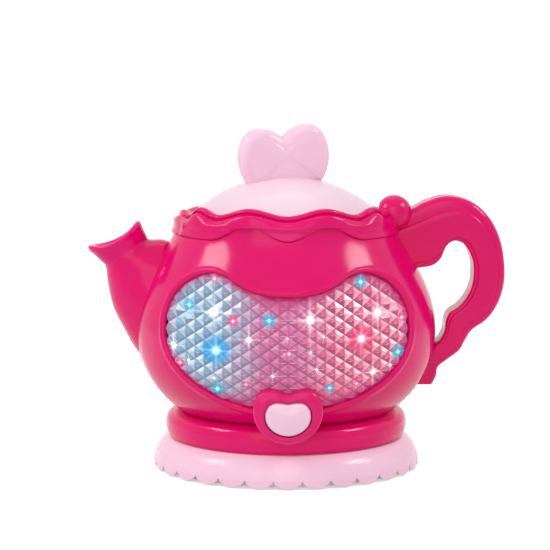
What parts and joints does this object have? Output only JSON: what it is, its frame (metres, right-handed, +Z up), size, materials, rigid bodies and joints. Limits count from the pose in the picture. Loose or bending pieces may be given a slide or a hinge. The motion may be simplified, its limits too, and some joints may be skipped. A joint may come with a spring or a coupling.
{
  "type": "toy teapot",
  "caption": "Battery toy teapot with a lit facet window, heart push button, lift-off lid with a heart knob, loop handle and scalloped base.",
  "frame": {"origin": "middle of the foot rib, on the surface the toy stands on", "axes": "+Z up, +X towards the handle, -X towards the spout, -Y towards the window and the button"},
  "size_m": [0.1995, 0.1436, 0.1636],
  "materials": {
    "rose": "glossy rose pink moulded ABS",
    "magenta": "glossy magenta moulded ABS of the spout lip",
    "blush": "glossy blush pink moulded ABS",
    "pale_lid": "glossy very pale pink moulded ABS",
    "lens": "clear moulded styrene with diamond facets",
    "tray": "pearl white reflector tray",
    "board_green": "green circuit board",
    "lamp": "clear lamp epoxy",
    "steel": "zinc plated steel",
    "black": "black moulded nylon and epoxy",
    "cell": "plain battery sleeve",
    "wire_red": "soft insulation of the wires",
    "switch_grey": "grey switch case"
  },
  "bodies": {
    "pot": {"front_cover": "rose", "body_front_half": "rose", "body_rear_half": "rose", "spout_front_half": "rose", "spout_rear_half": "rose", "spout_lip": "magenta", "handle_front_half": "rose", "handle_rear_half": "rose", "ruffled_collar": "rose", "tea_well": "blush", "facet_lens": "lens", "reflector_tray": "tray", "led_board": "board_green", "leds": "lamp", "button_bezel": "rose", "button_switch": "black", "base_ring": "rose", "scalloped_skirt": "blush", "bottom_plate": "blush", "batteries": "cell", "battery_contacts": "steel", "contact_springs": "steel", "speaker": "black", "main_board": "board_green", "sound_chip": "black", "wires": "wire_red", "switch_housing": "switch_grey", "shell_screws": "steel", "cover_screws": "steel", "deck_screws": "steel", "base_screws": "steel"},
    "button": {"heart_button": "blush", "button_spring": "steel"},
    "lid_group": {"lid": "pale_lid", "heart_knob_front": "blush", "heart_knob_rear": "blush", "knob_screw": "steel"},
    "battery_hatch": {"battery_door": "blush", "door_screw": "steel"},
    "switch_knob": {"switch_slider": "black"}
  },
  "joints": [
    {"name": "button_press", "type": "slide", "parent": "pot", "child": "button", "axis": [0, 1, 0], "range_m": [0, 0.002], "stiffness_N_per_m": 300, "springref_m": -0.002, "deforming": ["button_spring"]},
    {"name": "lid_lift", "type": "slide", "parent": "pot", "child": "lid_group", "axis": [0, 0, 1], "range_m": [0, 0.04]},
    {"name": "battery_door_swing", "type": "hinge", "parent": "pot", "child": "battery_hatch", "pos_m": [-0.0272, 0, 0.0024], "axis": [0, 1, 0], "range_deg": [0, 100]},
    {"name": "power_switch_slide", "type": "slide", "parent": "pot", "child": "switch_knob", "axis": [1, 0, 0], "range_m": [0, 0.004]}
  ]
}
